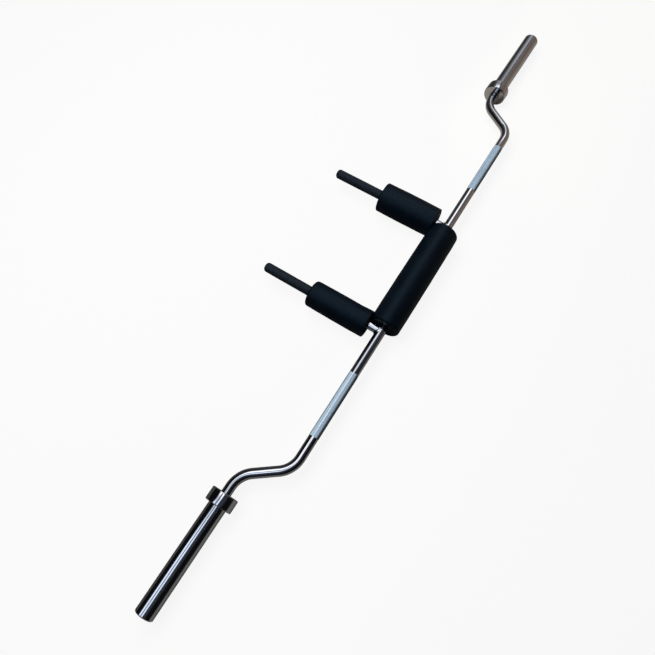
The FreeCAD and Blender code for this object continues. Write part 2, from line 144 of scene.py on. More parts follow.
class Finish:
    """The nodes of one material or of the world."""

    def __init__(self, tree):
        self.tree = tree
        tree.nodes.clear()

    def add(self, kind, settings=None, inputs=None, output=0):
        """A node of that kind. Its settings come first, then the values or wires of its sockets."""
        node = self.tree.nodes.new(kind)
        for name, value in (settings or {}).items():
            setattr(node, name, value)
        for key, value in (inputs or {}).items():
            if isinstance(value, Wire):
                self.tree.links.new(value.socket, node.inputs[key])
            else:
                node.inputs[key].default_value = value
        return Wire(self, node.outputs[output])

    def place(self):
        """Where a point of the object is, in metres."""
        return self.add("ShaderNodeTexCoord", output="Object")

    def parts(self, vector):
        """The three numbers of a vector."""
        split = self.add("ShaderNodeSeparateXYZ", {}, {"Vector": vector}).socket.node
        return [Wire(self, socket) for socket in split.outputs]

    def stretched(self, scale):
        """The place with each of its numbers scaled."""
        return self.add("ShaderNodeMapping", {}, {"Vector": self.place(), "Scale": scale})

    def cloud(self, where, scale, detail=3.0):
        """Soft noise from 0 to 1; scale is how many of its lumps lie in a metre."""
        return self.add("ShaderNodeTexNoise", {}, {"Vector": where, "Scale": scale, "Detail": detail})

    def ramp(self, value, low, high, to_low=0.0, to_high=1.0):
        """The value carried from one range into another with soft ends."""
        return self.add("ShaderNodeMapRange", {"interpolation_type": "SMOOTHSTEP"}, {
            "Value": value, "From Min": low, "From Max": high, "To Min": to_low, "To Max": to_high})

    def window(self, value, rise, fall):
        """1 between two soft edges, the rise and the fall, and 0 outside them."""
        return self.ramp(value, *rise) * (1 - self.ramp(value, *fall))

    def summed(self, value, ramps):
        """The sum of several ramps, each given as the two ends of both its ranges."""
        return sum(self.ramp(value, *ends) for ends in ramps)

    def blend(self, share, first, second):
        """A colour between two colours."""
        return self.add("ShaderNodeMix", {"data_type": "RGBA"}, {"Factor": share, 6: first, 7: second}, 2)

    def scaled(self, colour, factor):
        """A colour made lighter or darker."""
        return self.add("ShaderNodeVectorMath", {"operation": "SCALE"}, {0: colour, "Scale": factor})

    def relief(self, height, depth):
        """A normal that follows a height from 0 to 1; depth is in metres."""
        return self.add("ShaderNodeBump", {}, {"Height": height, "Distance": depth})

    def show(self, shader, output="ShaderNodeOutputMaterial"):
        self.tree.links.new(shader.socket, self.tree.nodes.new(output).inputs["Surface"])

    def surface(self, sockets):
        self.show(self.add("ShaderNodeBsdfPrincipled", {}, sockets))


def new_finish(name):
    material = bpy.data.materials.new(name)
    material.use_nodes = True
    return material, Finish(material.node_tree)


def chrome_finish(name, haze, wear):
    """Polished hard chrome with a thin haze and the fine rubs of use."""
    material, nodes = new_finish(name)
    bands = nodes.cloud(nodes.stretched((9, 240, 240)), 1.0)
    rubs = nodes.ramp(nodes.cloud(nodes.stretched((420, 90, 90)), 1.0, 5.0), 0.55, 0.8)
    clouds = nodes.cloud(nodes.place(), 22.0)
    bright = nodes.ramp(clouds, 0.3, 0.75)
    tone = nodes.blend(bright, (0.545, 0.555, 0.575, 1), (0.585, 0.6, 0.625, 1))
    gloss = haze + bands * haze + rubs * wear
    nodes.surface({"Base Color": tone, "Metallic": 1.0, "Roughness": gloss,
                   "Normal": nodes.relief(clouds + rubs * 0.4, 0.00002)})
    return material


def knurl_finish():
    """The knurled bands are plated too, but so finely cut that they look satin and pale. Paler streaks run
    along them at listed places round the bar; these are painted highlights, with random streaks of tone over
    them. Painted shade darkens the bands towards their back and along their front edge."""
    material, nodes = new_finish("knurled_chrome")
    worn = nodes.ramp(nodes.cloud(nodes.place(), 60.0), 0.35, 0.7)
    streaks = nodes.ramp(nodes.cloud(nodes.stretched((4, 210, 210)), 1.0), 0.38, 0.62)
    along, forward, _ = nodes.parts(nodes.place())
    forward -= shaft_axis.y
    highlight_and_streaks = 0
    # Painted highlight streaks along the band, then random streaks of tone laid over them
    for side, place in highlight_streak_places:
        away = forward - place
        streak = 1 - nodes.ramp(away * away, 0.0, highlight_streak_width ** 2)
        highlight_and_streaks += streak * nodes.ramp(along * side, -0.1, 0.1)
    highlight_and_streaks = highlight_and_streaks * (0.6 + streaks * 0.4) + streaks * 0.15
    tone = nodes.blend(highlight_and_streaks, (0.35, 0.5, 0.64, 1), (0.7, 0.84, 0.96, 1))
    # Painted shade: the band darkens towards its back and along its front edge
    painted_shade = nodes.ramp(forward, *painted_back_shade, 0.17, 1.0) * nodes.ramp(forward, *painted_front_shade, 1.0, 0.4)
    nodes.surface({"Base Color": nodes.scaled(tone, painted_shade), "Metallic": 0.2 + worn * 0.1,
                   "Roughness": 0.36 + worn * 0.08, "Normal": nodes.relief(worn, 0.00002)})
    return material


def bend_line():
    """Points and headings from the first bend of the right end to its last."""
    across = sleeve_axis - shaft_axis
    offset = across.length
    across.normalize()
    slant = math.atan2(offset, outer_bend - inner_bend)
    run_in = bend_radius * math.tan(slant / 2)
    points = []
    for step in range(bend_steps + 1):
        heading = slant * step / bend_steps
        station = inner_bend - run_in + bend_radius * math.sin(heading)
        points.append((station, bend_radius * (1 - math.cos(heading)), heading))
    for step in range(bend_steps, -1, -1):
        heading = slant * step / bend_steps
        station = outer_bend + run_in - bend_radius * math.sin(heading)
        points.append((station, offset - bend_radius * (1 - math.cos(heading)), heading))
    return [(shaft_axis + LEVEL * station + across * rise,
             LEVEL * math.cos(heading) + across * math.sin(heading))
            for station, rise, heading in points]


def shaft_rings():
    """The shaft's rings from left to right: middle, heading, radius, and how fully it is knurled."""
    end = [(point, heading, stock_r, 0) for point, heading in bend_line()]
    journal = ((shoulder, stock_r), (shoulder, journal_r),
               (groove_run[0], journal_r), (groove_run[0], groove_r),
               (groove_run[1], groove_r), (groove_run[1], journal_r),
               (shaft_tip - journal_chamfer, journal_r), (shaft_tip, journal_r - journal_chamfer))
    end += [(sleeve_axis + LEVEL * station, LEVEL, radius, 0) for station, radius in journal]
    other_end = [(point * Vector((-1, 1, 1)), heading * Vector((1, -1, -1)), radius, 0)
                 for point, heading, radius, _ in reversed(end)]
    bands = []
    for start, stop in knurl_runs:
        rows = round((stop - start) / knurl_pitch)
        for row in range(rows + 1):
            share = min(row, rows - row, knurl_run_out) / knurl_run_out
            station = start + (stop - start) * row / rows
            bands.append((shaft_axis + LEVEL * station, LEVEL, stock_r, share))
    return other_end + bands + end


def knurled_shaft(smooth_finish, cut_finish):
    """The whole shaft in one skin, with crests and valleys by turns where it is knurled."""
    form = bmesh.new()
    normal = LEVEL.cross((sleeve_axis - shaft_axis).normalized())
    rings = []
    for row, (point, heading, radius, share) in enumerate(shaft_rings()):
        side = normal.cross(heading)
        ring = []
        for column in range(shaft_sides):
            lean = 2 * math.pi * column / shaft_sides
            cut = knurl_crest if (row + column) % 2 == 0 else knurl_valley
            reach = radius + cut * share
            ring.append(form.verts.new(point + (side * math.cos(lean) + normal * math.sin(lean)) * reach))
        rings.append((ring, share))
    for row, ((ring, share), (following, next_share)) in enumerate(zip(rings, rings[1:])):
        for column in range(shaft_sides):
            beyond = (column + 1) % shaft_sides
            corners = (ring[column], ring[beyond], following[beyond], following[column])
            if share + next_share == 0:
                form.faces.new(corners)
            else:
                first = 1 if (row + column) % 2 == 0 else 0
                fold = corners[first:] + corners[:first]
                form.faces.new((fold[0], fold[1], fold[2])).material_index = 1
                form.faces.new((fold[0], fold[2], fold[3])).material_index = 1
    form.faces.new(rings[0][0])
    form.faces.new(rings[-1][0])
    shaft = piece_of("centre_shaft", form, smooth_finish)
    shaft.data.materials.append(cut_finish)
    return shaft


chrome = chrome_finish("hard_chrome", 0.055, 0.05)
settle(knurled_shaft(chrome, knurl_finish()), "bar", "chrome", "center_shaft")

# The two arms are chromed steel tubes, coped to the round of the shaft and welded to it all round with
# a small fillet. The chrome lies over the weld's ripples.
arm_station = 203.5 * MM
arm_end = 390 * MM
arm_r = 12.5 * MM
arm_bore = 10 * MM
arm_sides = 144
weld_leg = 4.5 * MM
weld_root = 0.6 * MM
weld_crown = 0.6 * MM
ripple_count = 34
ripple_height = 0.12 * MM
ripple_steps = 6
weld_steps = 8
SIDES = (("left", -1), ("right", 1))


def saddle(lean, radius):
    """Where a tube of that radius meets the shaft's skin: the way out from its axis, and the point."""
    outward = Vector((math.cos(lean), 0, math.sin(lean)))
    reach = math.sqrt(stock_r ** 2 - (radius * outward.z) ** 2)
    return outward, outward * radius + FORWARD * reach


def coped_arm(name, foot, material):
    """A tube whose near end is cut to the shaft's round, inside and outside."""
    form = bmesh.new()
    rings = [[], [], [], []]
    for step in range(arm_sides):
        lean = 2 * math.pi * step / arm_sides
        outward, outer = saddle(lean, arm_r)
        _, inner = saddle(lean, arm_bore)
        rings[0].append(form.verts.new(foot + inner))
        rings[1].append(form.verts.new(foot + outer))
        rings[2].append(form.verts.new(foot + outward * arm_r + FORWARD * arm_end))
        rings[3].append(form.verts.new(foot + outward * arm_bore + FORWARD * arm_end))
    join_rings(form, rings, closed=True)
    return piece_of(name, form, material)


def join_rings(form, rings, closed):
    """Skins a row of rings of as many corners each; a closed row comes back to its first ring."""
    following = rings[1:] + rings[:1] if closed else rings[1:]
    for ring, beyond in zip(rings, following):
        for step in range(len(ring)):
            after = (step + 1) % len(ring)
            form.faces.new((ring[step], ring[after], beyond[after], beyond[step]))


def weld_bead(name, foot, material):
    """A closed bead round the saddle, rippled where each drop of metal set."""
    form = bmesh.new()
    sections = []
    steps = ripple_count * ripple_steps
    for step in range(steps):
        lean = 2 * math.pi * step / steps
        outward, corner = saddle(lean, arm_r)
        shaft_normal = Vector((0, corner.y, corner.z)).normalized()
        down_shaft = (outward - shaft_normal * outward.dot(shaft_normal)).normalized()
        arm_toe = corner + FORWARD * weld_leg - outward * weld_root
        shaft_toe = corner + down_shaft * weld_leg - shaft_normal * weld_root
        swell = (outward + FORWARD).normalized()
        wave = ripple_height * math.cos(lean * ripple_count)
        section = [corner - outward * weld_root - shaft_normal * weld_root]
        for part in range(weld_steps + 1):
            share = part / weld_steps
            bulge = math.sin(math.pi * share)
            section.append(arm_toe.lerp(shaft_toe, share) + swell * bulge * (weld_crown + wave))
        sections.append([form.verts.new(foot + point) for point in section])
    join_rings(form, sections, closed=True)
    return piece_of(name, form, material)


for side_name, side in SIDES:
    foot = shaft_axis + LEVEL * side * arm_station
    settle(coped_arm(f"{side_name}_arm_tube", foot, chrome), "bar", "chrome", f"{side_name}_arm")
    settle(weld_bead(f"{side_name}_weld_bead", foot, chrome), "bar", "chrome", f"{side_name}_arm_weld")

# The pads are rolls of closed-cell foam under a tight skin of navy-black vinyl, pushed over the shaft
# and the arms. The skin is drawn in round the tube at each end, and the roll swells a little between.
pad_crown = 0.8 * MM
pad_fit = 0.2 * MM
pad_step = 4.5 * MM
pad_dish = 2.5 * MM
pad_slack = 0.5 * MM
pad_swell = 1.4 * MM
pad_gathers = 22
gather_depth = 0.25 * MM
lumps_in_a_metre = 30
lump_height = 0.35 * MM
rim_steps = 6
pad_frames = 20
pad_pressure = 16
press_gap = 0.3 * MM
rest_gap = 0.1 * MM
squeezed_length = 40 * MM


def vinyl_finish():
    """Satin vinyl with a fine pebbled grain, and slight clouds in its tone and its gloss."""
    material, nodes = new_finish("pad_vinyl")
    grain = nodes.add("ShaderNodeTexVoronoi", {"feature": "SMOOTH_F1"},
                      {"Vector": nodes.place(), "Scale": 1100.0, "Smoothness": 0.6})
    wrinkle = nodes.cloud(nodes.place(), 420.0)
    clouds = nodes.ramp(nodes.cloud(nodes.place(), 14.0), 0.3, 0.7)
    tone = nodes.blend(clouds, (0.0014, 0.0032, 0.0062, 1), (0.0022, 0.0048, 0.0086, 1))
    nodes.surface({"Base Color": tone, "Roughness": 0.4 + clouds * 0.06 + grain * 0.06,
                   "Specular IOR Level": 0.19, "Specular Tint": (0.5, 0.74, 1.0, 1),
                   "Normal": nodes.relief(grain + wrinkle * 0.6, 0.0001)})
    return material


def pad_outline(start, end, rim, bore, roundings):
    """The closed outline of a roll as (along, radius), its ends drawn in to the bore."""
    outline = []
    for tip, inward, rounding in ((start, 1, roundings[0]), (end, -1, roundings[1])):
        face = rim - rounding
        half = [(tip + inward * pad_dish * ((face - radius) / (face - bore)) ** 2, radius)
                for radius in even(bore, face, pad_step)]
        for step in range(1, rim_steps + 1):
            lean = math.pi / 2 * step / rim_steps
            half.append((tip + inward * rounding * (1 - math.cos(lean)), face + rounding * math.sin(lean)))
        outline.append(half)
    first, last = outline
    body = []
    body_start = start + roundings[0]
    body_end = end - roundings[1]
    for along in even(body_start, body_end, pad_step)[1:-1]:
        share = (along - body_start) / (body_end - body_start)
        body.append((along, rim + pad_crown * 4 * share * (1 - share)))
    hole = [(along, bore) for along in even(start + pad_dish, end - pad_dish, pad_step)[1:-1]]
    return first + body + last[::-1] + hole[::-1]


def even(start, end, step):
    """Numbers from start to end, both counted, about a step apart."""
    count = max(round(abs(end - start) / step), 2)
    return [start + (end - start) * index / count for index in range(count + 1)]


def turned(name, outline, origin, along, material, sides=128, closed=False):
    """A piece turned round an axis from an outline of (along, radius)."""
    form = bmesh.new()
    first = UP
    second = along.cross(UP)
    rings = []
    for station, radius in outline:
        ring = []
        for step in range(sides):
            lean = 2 * math.pi * step / sides
            out = first * math.cos(lean) + second * math.sin(lean)
            ring.append(form.verts.new(origin + along * station + out * radius))
        rings.append(ring)
    join_rings(form, rings, closed)
    if not closed:
        form.faces.new(rings[0])
        form.faces.new(rings[-1])
    return piece_of(name, form, material)


def swell_up(piece, origin, along, bore):
    """The skin is blown up like a real cover over its foam, held round the tube, by cloth simulation."""
    mesh = piece.data
    held = piece.vertex_groups.new(name="held")
    for vertex in mesh.vertices:
        away = vertex.co - origin
        if (away - along * away.dot(along)).length < bore + pad_slack:
            held.add([vertex.index], 1.0, "REPLACE")
    start = [vertex.co.copy() for vertex in mesh.vertices]
    cloth = piece.modifiers.new("skin", "CLOTH")
    cloth.settings.use_pressure = True
    cloth.settings.uniform_pressure_force = pad_pressure
    cloth.settings.effector_weights.gravity = 0
    cloth.settings.vertex_group_mass = held.name
    cloth.point_cache.frame_end = pad_frames
    scene = bpy.context.scene
    for number in range(1, pad_frames + 1):
        scene.frame_set(number)
    blown = piece.evaluated_get(bpy.context.evaluated_depsgraph_get()).data
    ends = [vertex.co.copy() for vertex in blown.vertices]
    piece.modifiers.remove(cloth)
    piece.vertex_groups.remove(held)
    scene.frame_set(1)
    for vertex, old, new in zip(mesh.vertices, start, ends):
        move = new - old
        if move.length > pad_swell:
            move = move.normalized() * pad_swell
        vertex.co = old + move


vinyl = vinyl_finish()


def pad(name, nodes_of, origin, along, start, end, diameter, tube_r, roundings):
    """One roll on its tube, a hair slack before its skin swells, and flat where it rests on the floor."""
    bore = tube_r + pad_fit
    rim = diameter / 2 - pad_crown - pad_slack
    outline = pad_outline(start + pad_slack, end - pad_slack, rim, bore, roundings)
    sides = round(math.pi * diameter / pad_step)
    piece = turned(name, outline, origin, along, vinyl, sides, closed=True)
    swell_up(piece, origin, along, bore)
    for vertex in piece.data.vertices:
        away = vertex.co - origin
        station = away.dot(along)
        out = away - along * station
        lean = math.atan2(out.cross(UP).dot(along), out.z)
        near_end = 1 - min((station - start) / roundings[0], (end - station) / roundings[1], 1)
        fold = gather_depth * near_end * math.cos(lean * pad_gathers) * (1 - out.length / rim)
        lumps = noise.noise(vertex.co * lumps_in_a_metre) * lump_height
        if out.length > bore + pad_slack:
            vertex.co += out.normalized() * lumps + along * fold
            vertex.co.z = max(vertex.co.z, rest_gap)
    soft = piece.modifiers.new("soft", "SUBSURF")
    soft.levels = 1
    soft.render_levels = 1
    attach(piece, "bar")
    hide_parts(f"{nodes_of}_cover", f"{nodes_of}_foam")
    return piece


# The neck pad is squeezed in between the two arms, a little longer than the solid that stands for it
neck_low, neck_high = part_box("neck_pad_cover")
neck_diameter = neck_high[2] - neck_low[2]
neck_rounding = 9 * MM
neck_longer = (6.5 * MM, 4.5 * MM)
neck_start = neck_low[0] - neck_longer[0]
neck_end = neck_high[0] + neck_longer[1]
pad("neck_pad", "neck_pad", shaft_axis, LEVEL, neck_start, neck_end, neck_diameter, stock_r,
    (neck_rounding, neck_rounding))


def neck_skin(station):
    """How far the neck pad's skin lies from its axis at a station, nothing outside the pad."""
    inside = min(station - neck_start, neck_end - station)
    if inside <= 0:
        return 0
    face = neck_diameter / 2 - neck_rounding
    return face + math.sqrt(neck_rounding ** 2 - (neck_rounding - min(inside, neck_rounding)) ** 2)


def slip_aside(piece, foot, start, amount, bulge):
    """The soft roll hangs a little to the left of its tube, and bulges where the neck pad squeezes it."""
    for vertex in piece.data.vertices:
        away = vertex.co - foot
        if math.hypot(away.x, away.z) > arm_r + pad_slack:
            squeezed = max(1 - (away.y - start) / squeezed_length, 0)
            vertex.co.x -= amount - bulge * squeezed * max(away.x, 0) / arm_r


def press_on_neck_pad(piece):
    """The end of a shoulder pad gives way where it is pushed against the neck pad."""
    for vertex in piece.data.vertices:
        skin = neck_skin(vertex.co.x)
        rise = vertex.co.z - shaft_axis.z
        if skin > abs(rise):
            contact = shaft_axis.y + math.sqrt(skin ** 2 - rise ** 2) + press_gap
            vertex.co.y = max(vertex.co.y, contact)


# Each shoulder roll: its side, where it starts, how much longer and fuller it is than its solid, its
# bulge, and the roundings of its two ends
shoulder_rolls = (("left", -1, 40.5 * MM, 1.3 * MM, 1.3 * MM, 0.9 * MM, (4 * MM, 8 * MM)),
                  ("right", 1, 39 * MM, 1.8 * MM, 2.2 * MM, 0, (3 * MM, 4 * MM)))
for side_name, side, start, longer, fuller, bulge, roundings in shoulder_rolls:
    node = f"{side_name}_shoulder_pad"
    low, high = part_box(f"{node}_cover")
    foot = shaft_axis + LEVEL * side * arm_station
    roll = pad(f"{side_name}_shoulder_roll", node, foot, FORWARD, start, high[1] - shaft_axis.y + longer,
               high[0] - low[0] + fuller, arm_r, roundings)
    slip_aside(roll, foot, start, fuller, bulge)
    press_on_neck_pad(roll)

# The hand grips are moulded rubber sleeves with one closed, rounded end, pushed over the arms as far
# as they go. The rubber is matt and a little mottled.
grip_r = 15 * MM
grip_bore = 12.7 * MM
grip_rounding = 9 * MM
grip_lip = 1.5 * MM
grip_end_wall = 6 * MM
grip_core = 0.254 * MM


def rubber_finish():
    """Matt rubber with small pores, mottled and worn a little paler in patches."""
    material, nodes = new_finish("grip_rubber")
    mottle = nodes.ramp(nodes.cloud(nodes.place(), 210.0, 4.0), 0.35, 0.7)
    patches = nodes.cloud(nodes.place(), 38.0)
    pores = nodes.cloud(nodes.place(), 1900.0)
    tone = nodes.blend(mottle * 0.6 + patches * 0.4, (0.003, 0.0055, 0.0095, 1), (0.017, 0.024, 0.034, 1))
    nodes.surface({"Base Color": tone, "Roughness": 0.5 + patches * 0.14, "Specular IOR Level": 0.2,
                   "Normal": nodes.relief(pores + mottle * 0.8, 0.00015)})
    return material


def rounded_corner(along, radius, size, heading, steps=8):
    """A quarter circle that rounds the outer corner at (along, radius); heading is 1 at a far end and -1
    at a near one."""
    points = []
    for step in range(steps + 1):
        lean = math.pi / 2 * step / steps
        if heading > 0:
            points.append((along - size + size * math.sin(lean), radius - size + size * math.cos(lean)))
        else:
            points.append((along + size - size * math.cos(lean), radius - size + size * math.sin(lean)))
    return points


rubber = rubber_finish()
for side_name, side in SIDES:
    low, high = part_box(f"{side_name}_grip")
    foot = shaft_axis + LEVEL * side * arm_station
    start = low[1] - shaft_axis.y
    tip = high[1] - shaft_axis.y
    outline = [(tip - grip_end_wall, grip_core), (tip - grip_end_wall, grip_bore), (start, grip_bore)]
    outline += rounded_corner(start, grip_r, grip_lip, -1)
    outline += rounded_corner(tip, grip_r, grip_rounding, 1)
    outline.append((tip, grip_core))
    grip = turned(f"{side_name}_hand_grip", outline, foot, FORWARD, rubber)
    settle(grip, "bar", "grip_rubber", f"{side_name}_grip")

# Inside each sleeve two sintered bronze bushings turn on the journal, between ground steel thrust
# washers, and a spring-steel ring in the journal's groove holds them on. They hardly show from outside.


def bronze_finish():
    """Pressed and sintered powder, so it is full of fine pores that hold oil."""
    material, nodes = new_finish("sintered_bronze")
    pores = nodes.cloud(nodes.place(), 2600.0)
    patches = nodes.cloud(nodes.place(), 90.0)
    tone = nodes.blend(patches, (0.42, 0.25, 0.1, 1), (0.58, 0.38, 0.17, 1))
    nodes.surface({"Base Color": tone, "Metallic": 1.0, "Roughness": 0.34 + pores * 0.16,
                   "Normal": nodes.relief(pores, 0.00006)})
    return material


def ground_steel_finish():
    """Bare steel with the fine lines that grinding leaves."""
    material, nodes = new_finish("ground_steel")
    lines = nodes.cloud(nodes.stretched((900, 60, 60)), 1.0, 5.0)
    tone = nodes.blend(lines, (0.31, 0.31, 0.32, 1), (0.42, 0.42, 0.43, 1))
    nodes.surface({"Base Color": tone, "Metallic": 1.0, "Roughness": 0.22 + lines * 0.18,
                   "Normal": nodes.relief(lines, 0.00002)})
    return material


inner_works = {"inner_bushing": bronze_finish(), "inner_washer": ground_steel_finish()}
inner_works["outer_bushing"] = inner_works["inner_bushing"]
inner_works["outer_washer"] = inner_works["inner_washer"]
inner_works["retaining_ring"] = inner_works["inner_washer"]
for side_name, _ in SIDES:
    for part, material in inner_works.items():
        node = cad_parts[f"{side_name}_{part}"]
        node.data.materials.clear()
        node.data.materials.append(material)

# The plate sleeves are chromed steel tubes that turn on the journals, each with a stop collar pressed
# against a small shoulder and a dished cap in its mouth. Plates have left fine rubs along them.
sleeve_r = 25 * MM
collar_r = 37.5 * MM
collar_seat = 24.5 * MM
seat_r = 17.05 * MM
bore_r = 15 * MM
sleeve_chamfer = 2.5 * MM
inner_seat = 837.3 * MM
outer_seat = 1048.2 * MM
collar_end = 828 * MM
collar_rounding = 3 * MM
rim_softness = 0.35 * MM
cap_face = sleeve_end - 2 * MM
cap_back = cap_face - 10 * MM
cap_hollow = 14.05 * MM
cap_dish = 1.5 * MM
cap_wall = 3 * MM
cap_core = 0.01 * MM


def soften(piece, amount):
    """Real edges are broken by a file or the polishing wheel."""
    bevel = piece.modifiers.new("broken_edges", "BEVEL")
    bevel.width = amount
    bevel.segments = 3
    bevel.limit_method = "ANGLE"
    bevel.angle_limit = SMOOTH_UP_TO
    bevel.harden_normals = True


sleeve_chrome = chrome_finish("sleeve_chrome", 0.06, 0.12)
collar_chrome = chrome_finish("collar_chrome", 0.05, 0.07)
for side_name, side in SIDES:
    body = f"{side_name}_sleeve_assembly"
    outward = LEVEL * side
    tube = turned(f"{side_name}_plate_sleeve_tube", [
        (sleeve_start, seat_r), (sleeve_start, collar_seat), (collar_end, collar_seat),
        (collar_end, sleeve_r), (sleeve_end - sleeve_chamfer, sleeve_r),
        (sleeve_end, sleeve_r - sleeve_chamfer), (sleeve_end, seat_r), (outer_seat, seat_r),
        (outer_seat, bore_r), (inner_seat, bore_r), (inner_seat, seat_r)],
        sleeve_axis, outward, sleeve_chrome, closed=True)
    soften(tube, rim_softness)
    settle(tube, body, "chrome", f"{side_name}_sleeve")
    rim = rounded_corner(sleeve_start, collar_r, collar_rounding, -1)
    rim += rounded_corner(collar_end, collar_r, collar_rounding, 1)
    stop_outline = [(sleeve_start, collar_seat)] + rim + [(collar_end, collar_seat)]
    stop = turned(f"{side_name}_stop_collar", stop_outline, sleeve_axis, outward, collar_chrome, closed=True)
    settle(stop, body, "chrome", f"{side_name}_collar")
    cap = turned(f"{side_name}_sleeve_cap", [
        (cap_face - cap_dish - cap_wall, cap_core), (cap_face - cap_dish - cap_wall, cap_hollow),
        (cap_back, cap_hollow), (cap_back, seat_r), (cap_face, seat_r), (cap_face, cap_hollow),
        (cap_face - cap_dish, cap_hollow - cap_dish), (cap_face - cap_dish, cap_core)],
        sleeve_axis, outward, collar_chrome)
    soften(cap, rim_softness)
    settle(cap, body, "chrome", f"{side_name}_end_cap")

# The photographer's set: a pale floor, one long bluish softbox overhead and a little forward of the
# bar, and dark cloth hung down both sides, which gives the chrome its bright stripe and dark bands.
tent_radius = 3.2
tent_reach = 35.0
tent_steps = 48
floor_reach = 40.0
sheet_lift = 0.2 * MM
white_share = 0.9
# The lamp hangs a little crooked, so its middle and half width, in degrees, change along the bar. Each
# row has the stretch of a change, in metres, and the two numbers that it goes between. A tone takes over
# from the one before it within its stretch.
lamp_middles = ((-1.35, -0.9, 17, 12), (-0.7, 0.8, 0, 8), (1.0, 2.6, 0, -10), (3.4, 4.9, 0, 18))
lamp_half_widths = ((-1.35, -0.95, 20, 17), (-0.8, -0.2, 0, 0.5), (1.2, 2.6, 0, -2), (3.2, 4.4, 0, 5))
second_tube_dimmed = ((2.8, 4.3, 0, 0.5), (-1.2, -0.98, 0, 0.38), (-0.8, -0.6, 0, -0.38))
lamp_first_tone = (1.4, 1.56, 1.85, 1)
lamp_tones = ((-0.95, -0.6, (2.2, 2.22, 2.26, 1)), (0.0, 0.8, (1.18, 1.24, 1.35, 1)),
              (1.2, 2.4, (1.9, 1.95, 2.02, 1)), (3.8, 4.35, (0.43, 0.45, 0.49, 1)),
              (4.55, 4.8, (0.6, 0.62, 0.67, 1)))


def stage_piece(name, mesh, material):
    """A piece of the set, which is no part of the object."""
    piece = bpy.data.objects.new(name, mesh)
    mesh.materials.append(material)
    bpy.context.scene.collection.objects.link(piece)
    return piece


def flat_sheet(name, reach, depth, height):
    mesh = bpy.data.meshes.new(name)
    corners = ((-reach, -depth), (reach, -depth), (reach, depth), (-reach, depth))
    mesh.from_pydata([(x, y, height) for x, y in corners], [], [(0, 1, 2, 3)])
    return mesh


def seen_directly(nodes):
    """1 for what the camera sees straight, in a mirror or through glass, and 0 for plain light."""
    path = {name: nodes.add("ShaderNodeLightPath", output=name)
            for name in ("Is Camera Ray", "Is Glossy Ray", "Is Transmission Ray")}
    return path["Is Camera Ray"].above(path["Is Glossy Ray"]).above(path["Is Transmission Ray"])


def floor_finish():
    """Nearly white where it is seen, with enough of its plain self left to keep the bar's shadow."""
    material, nodes = new_finish("pale_floor")
    plain = nodes.add("ShaderNodeBsdfDiffuse", {}, {"Color": (0.82, 0.82, 0.82, 1)})
    white = nodes.add("ShaderNodeEmission", {}, {"Color": (1, 1, 1, 1), "Strength": 1.0})
    share = seen_directly(nodes) * white_share
    nodes.show(nodes.add("ShaderNodeMixShader", {}, {0: share, 1: plain, 2: white}))
    return material


def tent_finish():
    """What the chrome sees overhead and at the sides. Angles are from straight up towards the arms."""
    material, nodes = new_finish("light_tent")
    along, forward, height = nodes.parts(nodes.place())
    lean = nodes.add("ShaderNodeMath", {"operation": "ARCTAN2"}, {0: forward - shaft_axis.y, 1: height})
    lean = lean * math.degrees(1)
    off_middle = lean - nodes.summed(along, lamp_middles)
    half_width = nodes.summed(along, lamp_half_widths)
    threads_at = nodes.add("ShaderNodeCombineXYZ", {}, {"X": along * 0.15, "Y": lean * 0.42})
    threads = nodes.ramp(nodes.cloud(threads_at, 1.0, 4.0), 0.3, 0.7)

    # Two tubes behind one pane, a long lamp and a short one beyond its near end
    first_edge = nodes.ramp(off_middle + half_width, -3.0, 4.0)
    last_edge = nodes.ramp(off_middle - half_width, -4.0, 5.0)
    lamps = nodes.window(along, (-2.4, -2.0), (5.6, 6.6)) + nodes.window(along, (-3.6, -3.2), (-2.7, -2.5))
    tubes = first_edge * (1 - last_edge) * lamps
    split = nodes.window(off_middle, (-9.0, -4.0), (2.0, 7.0)) * nodes.ramp(along, -0.7, 0.2, 0.88, 0.1)
    second = nodes.ramp(off_middle, -4.0, 2.0) * nodes.summed(along, second_tube_dimmed)
    tubes *= (1 - split) * (1 - second)
    lamp = lamp_first_tone
    for start, stop, tone in lamp_tones:
        lamp = nodes.blend(nodes.ramp(along, start, stop), lamp, tone)

    # Round the lamp, the near cloth is dark with a bluish spill of light, and the far one is warm. The cloth
    # is lit by no lamp: its light and shade are painted into its glow
    dark = nodes.blend(nodes.ramp(along, -0.5, 0.6), (0.006, 0.006, 0.007, 1), (0.02, 0.022, 0.026, 1))
    spill = nodes.window(off_middle, (-60.0, -40.0), (10.0, 30.0))
    dark = nodes.blend(spill, dark, (0.045, 0.052, 0.07, 1))
    warm = nodes.blend(nodes.ramp(lean, -85.0, -55.0), (0.34, 0.258, 0.2, 1), (0.178, 0.134, 0.107, 1))
    warm = nodes.blend(nodes.ramp(lean, -50.0, -20.0), warm, (0.225, 0.198, 0.188, 1))
    warm = nodes.blend(nodes.ramp(off_middle, -40.0, -28.0), warm, (0.14, 0.135, 0.142, 1))
    warm = nodes.blend(nodes.ramp(off_middle, 20.0, 50.0), warm, (0.045, 0.044, 0.045, 1))
    warm = nodes.blend(threads, nodes.scaled(warm, 0.65), nodes.scaled(warm, 1.35))
    cloth = nodes.blend(nodes.ramp(along, 0.9, 2.5), dark, warm)
    lamp = nodes.blend(threads, nodes.scaled(lamp, 0.9), nodes.scaled(lamp, 1.08))
    light = nodes.blend(tubes, cloth, lamp)
    nodes.show(nodes.add("ShaderNodeEmission", {}, {"Color": light, "Strength": 1.0}))
    material.cycles.emission_sampling = "NONE"
    return material


